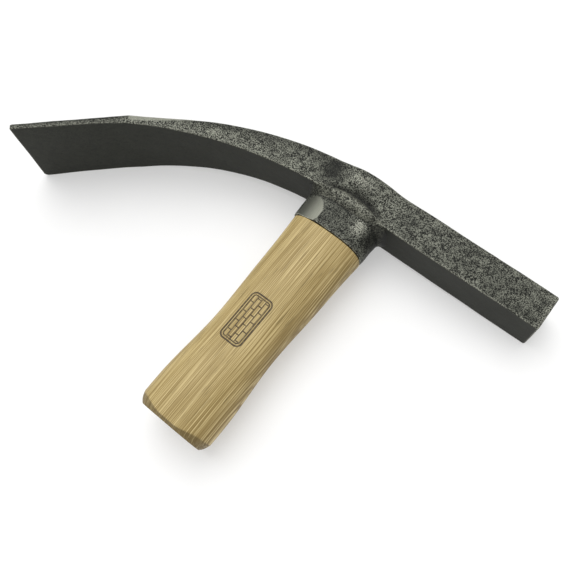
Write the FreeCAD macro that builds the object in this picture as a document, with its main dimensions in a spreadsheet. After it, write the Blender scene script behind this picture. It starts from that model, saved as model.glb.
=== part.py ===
import FreeCAD, Part
import math
import os
import re

import Sketcher

# Brick hammer: a square-faced block and a long drooping blade in one forged bar, an oval socket welded
# under the eye, and a short ash handle whose tenon passes through socket and eye and is wedged at the top.
#
# Design axes: X along the head (+X = striking block), Y up the handle axis, Z across the head. Design zero is
# where the handle axis meets the block's underside. Every piece is then moved so that the row's origin
# is under the middle of the whole hammer as it lies on its side, with +Z up.

SHEET_NAME = "Dimensions"
PARTS_FOLDER = "parts"

# alias, value (millimetres, degrees or plain ratios), meaning
DIMENSIONS = [
    ("block_reach", 118.4, "handle axis to striking face"),
    ("block_height", 21.4, "bar, underside to back, at the block"),
    ("bar_width", 28.2, "bar, cheek to cheek, at the block"),
    ("blade_reach", 184.0, "handle axis to cutting edge"),
    ("belly_start", 9.5, "where the underside starts to curve"),
    ("belly_radius", 206.5, "underside curve"),
    ("belly_turn", 42.0, "degrees turned by the underside curve"),
    ("back_start", 4.0, "where the back starts to curve, on the block side"),
    ("back_radius", 186.5, "back curve"),
    ("back_turn", 35.7, "degrees turned by the back curve"),
    ("grind_start", 133.0, "handle axis to the ground part of the blade"),
    ("edge_thickness", 3.6, "blade at the cutting edge"),
    ("edge_width", 54.0, "cutting edge, corner to corner"),
    ("flare_start", 24.0, "where the blade starts to widen"),
    ("flare_radius", 520.0, "curve into the flare"),
    ("flare_angle", 9.3, "flare of each side, degrees"),
    ("bar_round", 0.9, "rounding of the bar's long edges"),
    ("eye_shift", 1.5, "middle of the eye swelling, towards the block"),
    ("eye_foot", 3.0, "lowest section of the swelling"),
    ("eye_foot_length", 22.0, "half length there"),
    ("eye_foot_width", 13.6, "half width there"),
    ("cheek_level", 12.5, "fullest section of the swelling"),
    ("cheek_length", 26.5, "half length there"),
    ("cheek_width", 16.0, "half width there"),
    ("crown_edge", 20.4, "where the swelling rounds over at the top"),
    ("crown_edge_length", 25.5, "half length there"),
    ("crown_edge_width", 15.2, "half width there"),
    ("eye_top", 22.8, "top of the eye swelling"),
    ("crown_length", 22.6, "half length at the top"),
    ("crown_width", 13.6, "half width at the top"),
    ("oval_flank", 2.36, "oval: flank radius over half length"),
    ("oval_end", 1.03, "oval: end radius over half length"),
    ("oval_corner", 0.61, "oval: corner radius over half width"),
    ("socket_depth", 19.6, "socket, underside of the bar to its rim"),
    ("socket_root_length", 24.2, "socket, half length at the bar"),
    ("socket_root_width", 15.2, "socket, half width at the bar"),
    ("socket_rim_length", 23.3, "socket, half length at the rim"),
    ("socket_rim_width", 14.8, "socket, half width at the rim"),
    ("bore_rim_length", 19.8, "socket bore, half length at the rim"),
    ("bore_rim_width", 11.6, "socket bore, half width at the rim"),
    ("waist_length", 18.0, "tenon at the bar's underside, half length"),
    ("waist_width", 10.0, "tenon at the bar's underside, half width"),
    ("mouth_height", 26.0, "level at which the eye's mouth is given"),
    ("mouth_length", 19.2, "eye mouth, half length"),
    ("mouth_width", 11.2, "eye mouth, half width"),
    ("tenon_top", 22.3, "sawn end of the tenon"),
    ("socket_gap", 0.5, "gap between the socket's rim and the shoulder"),
    ("bead_drop", 3.4, "weld bead below the bar's underside"),
    ("bead_rise", 3.2, "weld bead above the bar's underside"),
    ("bead_leg_length", 2.6, "weld bead beyond the socket, lengthways"),
    ("bead_leg_width", 1.5, "weld bead beyond the socket, sideways"),
    ("shoulder_length", 22.9, "grip at the shoulder, half length"),
    ("shoulder_width", 14.7, "half width there"),
    ("neck_level", 35.0, "grip section below the shoulder"),
    ("neck_length", 21.95, "half length there"),
    ("neck_width", 14.5, "half width there"),
    ("upper_level", 58.0, "upper grip section"),
    ("upper_length", 21.2, "half length there"),
    ("upper_width", 14.2, "half width there"),
    ("grip_level", 91.0, "slimmest grip section"),
    ("grip_length", 19.95, "half length there"),
    ("grip_width", 13.9, "half width there"),
    ("swell_level", 134.0, "fullest section near the butt"),
    ("swell_length", 22.2, "half length there"),
    ("swell_width", 15.4, "half width there"),
    ("chamfer_level", 147.2, "start of the butt's chamfer"),
    ("chamfer_length", 22.1, "half length there"),
    ("chamfer_width", 15.1, "half width there"),
    ("butt_level", 151.5, "flat end of the butt"),
    ("butt_length", 18.9, "half length there"),
    ("butt_width", 11.8, "half width there"),
    ("butt_drift", 0.5, "butt's middle, off the handle axis to the blade side"),
    ("wedge_depth", 26.0, "wooden wedge, top to toe"),
    ("wedge_head", 5.2, "wooden wedge, thickness at the top"),
    ("wedge_toe", 1.2, "wooden wedge, thickness at the toe"),
    ("wedge_half_length", 17.0, "wooden wedge, half length"),
    ("pin_depth", 17.0, "steel wedge, top to toe"),
    ("pin_head", 2.8, "steel wedge, thickness at the top"),
    ("pin_toe", 0.8, "steel wedge, thickness at the toe"),
    ("pin_half_width", 8.0, "steel wedge, half width"),
]

# What expressions call each dimension.
CELLS = {alias: f"{SHEET_NAME}.{alias}" for alias, _, _ in DIMENSIONS}

# How a sketch numbers the points of a side, and its own origin.
START = 1
END = 2
CENTRE = 3
ORIGIN = (-1, 1)


def formula(text):
    """Turns a formula over aliases into one over the sheet's cells."""
    return re.sub("[a-z_]+", lambda word: CELLS.get(word.group(), word.group()), text)


def fill_sheet(doc):
    sheet = doc.addObject("Spreadsheet::Sheet", SHEET_NAME)
    for row, (alias, value, meaning) in enumerate(DIMENSIONS, start=1):
        sheet.set(f"A{row}", meaning)
        sheet.set(f"B{row}", str(value))
        sheet.setAlias(f"B{row}", alias)
    doc.recompute()
    return sheet


def evaluate(owner, text):
    return float(owner.evalExpression(formula(text)))


def new_body(doc, label):
    """A body whose placement carries the design axes' zero to its place in the row's frame."""
    body = doc.addObject("PartDesign::Body", label)
    body.Label = label
    body.setExpression("Placement.Base.x", formula("( blade_reach - block_reach ) / 2"))
    body.setExpression("Placement.Base.y", formula("( butt_level - eye_top ) / 2"))
    body.setExpression("Placement.Base.z", formula("edge_width / 2"))
    return body


def new_sketch(body, role, name, height="0"):
    """A sketch on one of the body's own planes, raised along the row axis that is normal to the plane."""
    plane = next(feature for feature in body.Origin.OriginFeatures if feature.Role == role)
    sketch = body.newObject("Sketcher::SketchObject", name)
    sketch.AttachmentSupport = [(plane, "")]
    sketch.MapMode = "FlatFace"
    # The XZ plane's own normal is -Y, so a height up the handle axis is a negative offset there.
    sign = "-1" if role == "XZ_Plane" else "1"
    sketch.setExpression("AttachmentOffset.Base.z", formula(f"{sign} * ( {height} )"))
    return sketch


def bind(sketch, kind, where, value):
    """Adds one dimension to a sketch and ties it to a formula."""
    index = sketch.addConstraint(Sketcher.Constraint(kind, *where, evaluate(sketch, value)))
    sketch.setExpression(f"Constraints[{index}]", formula(value))


def pin_point(sketch, geometry, point, across, up):
    bind(sketch, "DistanceX", (*ORIGIN, geometry, point), across)
    bind(sketch, "DistanceY", (*ORIGIN, geometry, point), up)


def arc_between(first, last, radius, bulge):
    """The minor arc from first to last that bulges to the left (+1) or the right (-1) of that direction."""
    chord = last - first
    half = chord.Length / 2
    sagitta = radius - math.sqrt(radius**2 - half**2)
    left = FreeCAD.Vector(-chord.y, chord.x, 0).normalize()
    return Part.Arc(first, (first + last) / 2 + left * (bulge * sagitta), last)


def draw_outline(sketch, corners):
    """Draws a closed outline. A corner is (x, y), and the side that leaves it is straight, or an arc where
    the corner goes on with (radius, bulge)."""
    places = [FreeCAD.Vector(evaluate(sketch, c[0]), evaluate(sketch, c[1]), 0) for c in corners]
    sides = []
    for index, corner in enumerate(corners):
        first = places[index]
        last = places[(index + 1) % len(corners)]
        if len(corner) == 2:
            geometry = sketch.addGeometry(Part.LineSegment(first, last))
        else:
            arc = arc_between(first, last, evaluate(sketch, corner[2]), corner[3])
            geometry = sketch.addGeometry(arc)
        forward = (sketch.getPoint(geometry, START) - first).Length < (
            sketch.getPoint(geometry, END) - first
        ).Length
        sides.append((geometry, START if forward else END, END if forward else START))
    for index, corner in enumerate(corners):
        geometry, first_point, last_point = sides[index]
        following, following_point, _ = sides[(index + 1) % len(corners)]
        joint = (geometry, last_point, following, following_point)
        sketch.addConstraint(Sketcher.Constraint("Coincident", *joint))
        pin_point(sketch, geometry, first_point, corner[0], corner[1])
        if len(corner) > 2:
            bind(sketch, "Radius", (geometry,), corner[2])


def draw_oval(sketch, half_length, half_width, drift="0"):
    """Draws an oval of two flank arcs, two end arcs and four corner arcs, each tangent to the next."""
    flank = f"oval_flank * ( {half_length} )"
    end = f"oval_end * ( {half_length} )"
    corner = f"oval_corner * ( {half_width} )"
    flank_centre = f"( {half_width} ) - {flank}"
    end_centre = f"( {half_length} ) - {end}"
    length, flank_radius, end_radius, corner_radius, flank_y, end_x, middle = (
        evaluate(sketch, text)
        for text in (half_length, flank, end, corner, flank_centre, end_centre, drift)
    )
    # The corner arc's centre lies where its distances to the two main centres differ from their radii by
    # its own radius.
    to_flank = flank_radius - corner_radius
    to_end = end_radius - corner_radius
    flank_middle = FreeCAD.Vector(0, flank_y, 0)
    end_middle = FreeCAD.Vector(end_x, 0, 0)
    between = end_middle - flank_middle
    gap = between.Length
    along = (to_flank**2 - to_end**2 + gap**2) / (2 * gap)
    away = math.sqrt(to_flank**2 - along**2)
    unit = between / gap
    corner_middle = flank_middle + unit * along + FreeCAD.Vector(unit.y, -unit.x, 0) * away
    flank_turn = math.atan2(corner_middle.y - flank_middle.y, corner_middle.x - flank_middle.x)
    end_turn = math.atan2(corner_middle.y - end_middle.y, corner_middle.x - end_middle.x)
    half_turn = math.pi
    arcs = [
        (end_middle.x, 0, end_radius, -end_turn, end_turn),
        (corner_middle.x, corner_middle.y, corner_radius, end_turn, flank_turn),
        (0, flank_middle.y, flank_radius, flank_turn, half_turn - flank_turn),
        (-corner_middle.x, corner_middle.y, corner_radius, half_turn - flank_turn, half_turn - end_turn),
        (-end_middle.x, 0, end_radius, half_turn - end_turn, half_turn + end_turn),
        (-corner_middle.x, -corner_middle.y, corner_radius, half_turn + end_turn, half_turn + flank_turn),
        (0, -flank_middle.y, flank_radius, half_turn + flank_turn, 2 * half_turn - flank_turn),
        (corner_middle.x, -corner_middle.y, corner_radius, -flank_turn, -end_turn),
    ]
    normal = FreeCAD.Vector(0, 0, 1)
    drawn = []
    for x, y, radius, first, last in arcs:
        circle = Part.Circle(FreeCAD.Vector(x + middle, y, 0), normal, radius)
        drawn.append(sketch.addGeometry(Part.ArcOfCircle(circle, first, last)))
    for index, geometry in enumerate(drawn):
        following = drawn[(index + 1) % len(drawn)]
        sketch.addConstraint(Sketcher.Constraint("Tangent", geometry, END, following, START))
    right, _, back, _, left, _, front, _ = drawn
    for geometry, across, up, radius in (
        (right, f"( {drift} ) + {end_centre}", "0", end),
        (left, f"( {drift} ) - ( {end_centre} )", "0", end),
        (back, drift, flank_centre, flank),
        (front, drift, f"-1 * ( {flank_centre} )", flank),
    ):
        pin_point(sketch, geometry, CENTRE, across, up)
        bind(sketch, "Radius", (geometry,), radius)
    for geometry in drawn[1::2]:
        bind(sketch, "Radius", (geometry,), corner)


def oval(body, name, height, half_length, half_width, drift="0"):
    sketch = new_sketch(body, "XZ_Plane", name, height)
    draw_oval(sketch, half_length, half_width, drift)
    return sketch


def loft(body, kind, name, sections, ruled=False):
    feature = body.newObject(f"PartDesign::{kind}Loft", name)
    feature.Profile = sections[0]
    feature.Sections = sections[1:]
    feature.Ruled = ruled
    return feature


def pad(body, name, sketch, length):
    feature = body.newObject("PartDesign::Pad", name)
    feature.Profile = sketch
    feature.SideType = "Symmetric"
    feature.setExpression("Length", formula(length))
    return feature


def pocket(body, name, sketch, length):
    """Cuts the sketch both ways from its plane, and makes sure that something was cut."""
    body.Document.recompute()
    before = body.Shape.Volume
    feature = body.newObject("PartDesign::Pocket", name)
    feature.Profile = sketch
    feature.SideType = "Symmetric"
    feature.setExpression("Length", formula(length))
    body.Document.recompute()
    if body.Shape.Volume >= before:
        raise RuntimeError(f"{name} cuts nothing")
    return feature


def trapezoid(body, role, name, depth, head, toe):
    """A wedge's outline, its head level with the sawn end of the tenon. The XY plane draws it with Y up,
    and the YZ plane with Y across."""
    sketch = new_sketch(body, role, name)
    top = "tenon_top"
    bottom = f"tenon_top - {depth}"
    corners = [
        (f"-1 * {head} / 2", top),
        (f"{head} / 2", top),
        (f"{toe} / 2", bottom),
        (f"-1 * {toe} / 2", bottom),
    ]
    if role == "YZ_Plane":
        corners = [(up, across) for across, up in corners]
    draw_outline(sketch, corners)
    return sketch


def wooden_wedge_outline(body):
    return trapezoid(body, "YZ_Plane", "WoodenWedgeOutline", "wedge_depth", "wedge_head", "wedge_toe")


def steel_wedge_outline(body):
    return trapezoid(body, "XY_Plane", "SteelWedgeOutline", "pin_depth", "pin_head", "pin_toe")


def make_head(doc):
    body = new_body(doc, "hammer_head")
    slope = "tan( belly_turn )"
    belly_end = "( belly_start + belly_radius * sin( belly_turn ) )"
    belly_fall = "( belly_radius * ( 1 - cos( belly_turn ) ) )"
    edge_x = "( blade_reach - edge_thickness * sin( belly_turn ) )"
    edge_y = f"( {belly_fall} + ( {edge_x} - {belly_end} ) * {slope} )"
    back_end = "( back_radius * sin( back_turn ) - back_start )"
    back_level = "( block_height - back_radius * ( 1 - cos( back_turn ) ) )"
    grind_level = f"( {back_level} - ( grind_start - {back_end} ) * tan( back_turn ) )"
    side = new_sketch(body, "XY_Plane", "SideOutline")
    draw_outline(
        side,
        [
            ("block_reach", "0"),
            ("-1 * belly_start", "0", "belly_radius", -1),
            (f"-1 * {belly_end}", f"-1 * {belly_fall}"),
            (f"-1 * {edge_x}", f"-1 * {edge_y}"),
            ("-1 * blade_reach", f"-1 * {edge_y} + edge_thickness * cos( belly_turn )"),
            ("-1 * grind_start", grind_level),
            (f"-1 * {back_end}", back_level, "back_radius", 1),
            ("back_start", "block_height"),
            ("block_reach", "block_height"),
        ],
    )
    pad(body, "Bar", side, "edge_width")

    # What lies outside the plan outline is cut away on each side of the bar.
    flare_end = "( flare_start + flare_radius * sin( flare_angle ) )"
    flare_half = "( bar_width / 2 + flare_radius * ( 1 - cos( flare_angle ) ) )"
    grind_half = f"( {flare_half} + ( grind_start - {flare_end} ) * tan( flare_angle ) )"
    for name, sign, bulge in (("Upper", "", 1), ("Lower", "-1 * ", -1)):
        plan = new_sketch(body, "XZ_Plane", f"{name}PlanOutline")
        draw_outline(
            plan,
            [
                ("block_reach + 1", f"{sign}bar_width / 2"),
                ("-1 * flare_start", f"{sign}bar_width / 2", "flare_radius", bulge),
                (f"-1 * {flare_end}", f"{sign}{flare_half}"),
                ("-1 * grind_start", f"{sign}{grind_half}"),
                ("-1 * blade_reach", f"{sign}edge_width / 2"),
                ("-1 * blade_reach", f"{sign}edge_width"),
                ("block_reach + 1", f"{sign}edge_width"),
            ],
        )
        pocket(body, f"{name}Flare", plan, "8 * butt_level")

    bar = body.Tip
    rounding = body.newObject("PartDesign::Fillet", "LongEdges")
    rounding.Base = (bar, long_edges(bar.Shape))
    rounding.setExpression("Radius", formula("bar_round"))

    swelling = [
        oval(body, "SwellingFoot", "eye_foot", "eye_foot_length", "eye_foot_width", "eye_shift"),
        oval(body, "Cheek", "cheek_level", "cheek_length", "cheek_width", "eye_shift"),
        oval(body, "CrownEdge", "crown_edge", "crown_edge_length", "crown_edge_width", "eye_shift"),
        oval(body, "Crown", "eye_top", "crown_length", "crown_width", "eye_shift"),
    ]
    loft(body, "Additive", "EyeSwelling", swelling)

    doc.recompute()
    eye_sections = [
        oval(body, "EyeWaist", "0", "waist_length", "waist_width"),
        oval(body, "EyeMouth", "mouth_height", "mouth_length", "mouth_width"),
    ]
    loft(body, "Subtractive", "Eye", eye_sections)
    return body


def long_edges(shape):
    """Names of the edges where two of the bar's faces meet at a real corner."""
    corner_from = math.radians(30)
    names = []
    for number, edge in enumerate(shape.Edges, start=1):
        first, second = shape.ancestorsOfType(edge, Part.Face)
        middle = edge.valueAt((edge.FirstParameter + edge.LastParameter) / 2)
        normals = [face.normalAt(*face.Surface.parameter(middle)) for face in (first, second)]
        if normals[0].getAngle(normals[1]) > corner_from:
            names.append(f"Edge{number}")
    return names


def make_socket_blank(doc):
    """The socket before the blade side of its top is fitted to the curved underside of the bar."""
    body = new_body(doc, "socket_blank")
    outside = [
        oval(body, "SocketRoot", "0", "socket_root_length", "socket_root_width"),
        oval(body, "SocketRim", "-1 * socket_depth", "socket_rim_length", "socket_rim_width"),
    ]
    loft(body, "Additive", "Outside", outside)
    doc.recompute()
    bore = [
        oval(body, "BoreTop", "0", "waist_length", "waist_width"),
        oval(body, "BoreRim", "-1 * socket_depth", "bore_rim_length", "bore_rim_width"),
    ]
    loft(body, "Subtractive", "Bore", bore)
    return body


def make_bead_blank(doc):
    """The weld bead as a ring round the joint, before bar and socket are taken out of it."""
    body = new_body(doc, "bead_blank")
    ring = [
        oval(body, "BeadFoot", "-1 * bead_drop", "socket_root_length - 0.5", "socket_root_width - 0.4"),
        oval(
            body,
            "BeadCrown",
            "-0.5",
            "socket_root_length + bead_leg_length",
            "socket_root_width + bead_leg_width",
        ),
        oval(body, "BeadHead", "bead_rise", "socket_root_length - 0.5", "bar_width / 2 - 0.4"),
    ]
    loft(body, "Additive", "Ring", ring)
    doc.recompute()
    inside = oval(body, "BeadInside", "0", "socket_root_length - 1.8", "socket_root_width - 1.8")
    pocket(body, "Hollow", inside, "40")
    return body


def cut(doc, label, base, tool):
    result = doc.addObject("Part::Cut", label)
    result.Label = label
    result.Base = base
    result.Tool = tool
    doc.recompute()
    return result


def make_handle(doc):
    body = new_body(doc, "ash_handle")
    shoulder = "-1 * ( socket_depth + socket_gap )"
    grip = [
        oval(body, "Shoulder", shoulder, "shoulder_length", "shoulder_width"),
        oval(body, "Neck", "-1 * neck_level", "neck_length", "neck_width"),
        oval(body, "Upper", "-1 * upper_level", "upper_length", "upper_width"),
        oval(body, "Waist", "-1 * grip_level", "grip_length", "grip_width", "-0.6 * butt_drift"),
        oval(body, "Swell", "-1 * swell_level", "swell_length", "swell_width", "-1 * butt_drift"),
        oval(body, "Chamfer", "-1 * chamfer_level", "chamfer_length", "chamfer_width", "-1 * butt_drift"),
    ]
    loft(body, "Additive", "Grip", grip)
    doc.recompute()
    butt = [
        oval(body, "ButtStart", "-1 * chamfer_level", "chamfer_length", "chamfer_width", "-1 * butt_drift"),
        oval(body, "ButtEnd", "-1 * butt_level", "butt_length", "butt_width", "-1 * butt_drift"),
    ]
    loft(body, "Additive", "Butt", butt, ruled=True)
    doc.recompute()
    lower_tenon = [
        oval(body, "TenonRim", "-1 * socket_depth", "bore_rim_length", "bore_rim_width"),
        oval(body, "TenonWaist", "0", "waist_length", "waist_width"),
    ]
    loft(body, "Additive", "LowerTenon", lower_tenon)
    doc.recompute()
    root = oval(body, "TenonRoot", shoulder, "bore_rim_length", "bore_rim_width")
    stub = body.newObject("PartDesign::Pad", "TenonStub")
    stub.Profile = root
    stub.Reversed = True
    stub.setExpression("Length", formula("socket_gap"))
    doc.recompute()
    upper_tenon = [
        oval(body, "TenonStart", "0", "waist_length", "waist_width"),
        oval(body, "TenonMouth", "mouth_height", "mouth_length", "mouth_width"),
    ]
    loft(body, "Additive", "UpperTenon", upper_tenon)
    saw_line = new_sketch(body, "XY_Plane", "SawLine")
    draw_outline(
        saw_line,
        [
            ("-1 * block_reach", "tenon_top"),
            ("block_reach", "tenon_top"),
            ("block_reach", "2 * mouth_height"),
            ("-1 * block_reach", "2 * mouth_height"),
        ],
    )
    pocket(body, "SawnEnd", saw_line, "edge_width")
    pocket(body, "WoodenWedgeSlot", wooden_wedge_outline(body), "2 * wedge_half_length")
    pocket(body, "SteelWedgeSlot", steel_wedge_outline(body), "2 * pin_half_width")
    return body


def make_wooden_wedge(doc):
    body = new_body(doc, "wooden_wedge")
    pad(body, "Wedge", wooden_wedge_outline(body), "2 * wedge_half_length")
    pocket(body, "SteelWedgeSlot", steel_wedge_outline(body), "2 * pin_half_width")
    return body


def make_steel_wedge(doc):
    body = new_body(doc, "steel_wedge")
    pad(body, "Wedge", steel_wedge_outline(body), "2 * pin_half_width")
    return body


def check(doc, pieces):
    """Stops with a message unless every object recomputed and every piece is one valid solid."""
    for item in doc.Objects:
        if "Invalid" in item.State or "Error" in item.State:
            raise RuntimeError(f"{item.Name} did not recompute: {item.State}")
    for piece in pieces:
        shape = piece.Shape
        if shape.isNull() or not shape.isValid() or len(shape.Solids) != 1:
            raise RuntimeError(f"{piece.Label} is not one valid solid")
        print(f"{piece.Label}: {shape.Volume:.1f} mm3, {shape.BoundBox}")


def main():
    doc = FreeCAD.newDocument("BrickHammer")
    fill_sheet(doc)
    head = make_head(doc)
    doc.recompute()
    socket = cut(doc, "oval_socket", make_socket_blank(doc), head)
    bead_outside = cut(doc, "bead_outside", make_bead_blank(doc), head)
    bead = cut(doc, "weld_bead", bead_outside, socket)
    pieces = [head, socket, bead, make_handle(doc), make_wooden_wedge(doc), make_steel_wedge(doc)]
    doc.recompute()
    check(doc, pieces)
    os.makedirs(PARTS_FOLDER, exist_ok=True)
    for piece in pieces:
        piece.Shape.exportStep(os.path.join(PARTS_FOLDER, f"{piece.Label}.step"))


main()
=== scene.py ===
import math

import bmesh
import bpy
import numpy as np
from mathutils import Matrix, Vector
from mathutils.noise import noise as perlin


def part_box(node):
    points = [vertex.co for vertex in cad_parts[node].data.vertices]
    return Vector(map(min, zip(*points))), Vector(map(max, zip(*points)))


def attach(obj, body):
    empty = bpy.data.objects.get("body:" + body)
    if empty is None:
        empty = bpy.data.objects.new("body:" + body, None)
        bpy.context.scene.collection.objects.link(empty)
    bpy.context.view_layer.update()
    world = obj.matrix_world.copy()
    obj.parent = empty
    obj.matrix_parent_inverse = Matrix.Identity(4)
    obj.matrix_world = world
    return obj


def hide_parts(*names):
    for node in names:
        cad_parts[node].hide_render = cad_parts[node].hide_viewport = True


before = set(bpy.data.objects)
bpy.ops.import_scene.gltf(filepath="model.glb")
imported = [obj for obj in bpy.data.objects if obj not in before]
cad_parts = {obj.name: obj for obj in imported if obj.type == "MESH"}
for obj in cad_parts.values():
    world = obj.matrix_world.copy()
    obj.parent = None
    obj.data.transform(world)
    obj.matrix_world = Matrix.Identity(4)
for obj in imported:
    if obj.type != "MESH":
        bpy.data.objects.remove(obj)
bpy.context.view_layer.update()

MM = 0.001

# ------------------------------------------------------------------ dimensions, in millimetres and degrees
# The same design axes as the CAD model: x along the head (+x block, -x blade), y up the handle axis, and z
# across the head.

BLOCK_REACH = 118.4
BLOCK_HEIGHT = 21.4
BAR_HALF = 14.1
BLADE_REACH = 184.0
BELLY_START = 9.5
BELLY_RADIUS = 206.5
BELLY_TURN = 42.0
BACK_START = 4.0
BACK_RADIUS = 186.5
BACK_TURN = 35.7
GRIND_START = 133.0
EDGE_THICKNESS = 3.6
EDGE_HALF = 27.0
FLARE_START = 24.0
FLARE_RADIUS = 520.0
FLARE_ANGLE = 9.3

SOCKET_DEPTH = 19.6
SOCKET_ROOT = (24.2, 15.2)
SOCKET_RIM = (23.3, 14.8)
BORE_ROOT = (18.0, 10.0)
BORE_RIM = (19.8, 11.6)
MOUTH_LEVEL = 26.0
MOUTH = (19.2, 11.2)
TENON_TOP = 22.3
CROWN_TOP = 22.8
OVAL_POWER = 2.47

# level, half length, half width, drift of the middle
GRIP_SECTIONS = [
    (-20.1, 22.9, 14.7, 0.0),
    (-35.0, 21.95, 14.5, 0.0),
    (-58.0, 21.2, 14.2, 0.0),
    (-91.0, 19.95, 13.9, -0.3),
    (-134.0, 22.2, 15.4, -0.5),
    (-147.2, 22.1, 15.1, -0.5),
]
BUTT_LEVEL = -151.5
BUTT = (18.9, 12.9)
BUTT_DRIFT = -0.5

WOODEN_WEDGE = {"half_length": 17.0, "depth": 26.0, "head": 5.2, "toe": 1.2}
STEEL_WEDGE = {"half_length": 8.0, "depth": 17.0, "head": 2.8, "toe": 0.8}


def design_zero():
    """Where the handle axis meets the block's underside, in the row frame: the top of the socket."""
    low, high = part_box("oval_socket")
    return Vector(((low.x + high.x) / 2, high.y, (low.z + high.z) / 2))


ZERO = design_zero()


def place(x, y, z=0.0):
    """A point given in millimetres along the head, up the handle and across the head, in the row frame."""
    return ZERO + Vector((x, y, z)) * MM


# ------------------------------------------------------------------ camera

def make_camera():
    azimuth = math.radians(48.4)
    elevation = math.radians(68.6)
    roll = math.radians(-10.4)
    distance = 371.8 * MM
    aim = place(-3.2, -52.4)
    back = Vector((
        math.sin(azimuth) * math.cos(elevation),
        -math.cos(azimuth) * math.cos(elevation),
        math.sin(elevation),
    ))
    level = Vector((math.cos(azimuth), math.sin(azimuth), 0))
    upright = back.cross(level)
    right = level * math.cos(roll) + upright * math.sin(roll)
    up = upright * math.cos(roll) - level * math.sin(roll)
    data = bpy.data.cameras.new("camera")
    data.sensor_width = 36.0
    data.lens = 42.35
    data.clip_start = 0.01
    data.clip_end = 50.0
    camera = bpy.data.objects.new("camera", data)
    bpy.context.scene.collection.objects.link(camera)
    axes = Matrix((right, up, back)).transposed().to_4x4()
    camera.matrix_world = Matrix.Translation(aim + back * distance) @ axes
    bpy.context.scene.camera = camera


# ------------------------------------------------------------------ mesh helpers

def smoothstep(low, high, value):
    """0 at low and 1 at high, easing in and out. High may be the lesser of the two."""
    share = np.clip((value - low) / (high - low), 0, 1)
    return share * share * (3 - 2 * share)


def hump(value, middle, width, power=2.0):
    """A smooth hump of height 1 at the middle."""
    return np.exp(-np.abs((value - middle) / width) ** power)


def waviness(points, size, seed):
    """Smooth noise in about -1..1 at each point; size is how wide one wave is, in millimetres. Each seed
    takes it from another place."""
    shift = np.array((17.3, 5.1, 29.7)) * seed
    flat = points.reshape(-1, 3) / np.array(size) + shift
    return np.array([perlin(p) for p in flat]).reshape(points.shape[:-1])


def even_oval(half_length, half_width, count, power=OVAL_POWER):
    """Evenly spaced points round an oval, as (x, z) columns."""
    fine_steps = 1440
    turn = np.linspace(0, 2 * math.pi, fine_steps + 1)
    x = half_length * np.sign(np.cos(turn)) * np.abs(np.cos(turn)) ** (2 / power)
    z = half_width * np.sign(np.sin(turn)) * np.abs(np.sin(turn)) ** (2 / power)
    length = np.concatenate([[0], np.cumsum(np.hypot(np.diff(x), np.diff(z)))])
    wanted = np.linspace(0, length[-1], count, endpoint=False)
    return np.stack([np.interp(wanted, length, x), np.interp(wanted, length, z)], axis=1)


def oval_row(level, half_length, half_width, count, power=OVAL_POWER, drift=0.0):
    """One level ring of an oval as x, y, z rows."""
    flat = even_oval(half_length, half_width, count, power)
    return np.stack([flat[:, 0] + drift, np.full(count, float(level)), flat[:, 1]], axis=1)


def part_way(first, last, share):
    """Half length and half width of an oval that is part of the way from one oval to another."""
    return [a + (b - a) * share for a, b in zip(first, last)]


def borders(closed, across, deep):
    """The lower, right, upper and left side of a ring whose last point is its first one again. The sides are
    across, deep, across and deep segments long."""
    upper = closed[across + deep: 2 * across + deep + 1][::-1]
    left = closed[2 * across + deep:][::-1]
    return closed[: across + 1], closed[across: across + deep + 1], upper, left


def grid_cap(ring, across, deep):
    """Fills a ring with a grid."""
    lower, right, upper, left = borders(np.concatenate([ring, ring[:1]]), across, deep)
    u = np.linspace(0, 1, across + 1)[:, None, None]
    v = np.linspace(0, 1, deep + 1)[None, :, None]
    return (
        (1 - v) * lower[:, None] + v * upper[:, None] + (1 - u) * left[None] + u * right[None]
        - (1 - u) * (1 - v) * lower[0] - u * (1 - v) * lower[-1]
        - (1 - u) * v * upper[0] - u * v * upper[-1]
    )


def link(name, vertices, faces, masks):
    """A mesh object from points in design millimetres, with one point attribute per mask."""
    mesh = bpy.data.meshes.new(name)
    points = np.asarray(vertices, float)[:, :3] * MM + np.array(ZERO)
    mesh.from_pydata(points.tolist(), [], faces)
    for index, mask in enumerate(masks):
        attribute = mesh.attributes.new(mask, "FLOAT", "POINT")
        attribute.data.foreach_set("value", np.ascontiguousarray(vertices[:, 3 + index], np.float32))
    shaped = bmesh.new()
    shaped.from_mesh(mesh)
    bmesh.ops.recalc_face_normals(shaped, faces=shaped.faces)
    shaped.to_mesh(mesh)
    shaped.free()
    obj = bpy.data.objects.new(name, mesh)
    bpy.context.scene.collection.objects.link(obj)
    return obj


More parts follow.
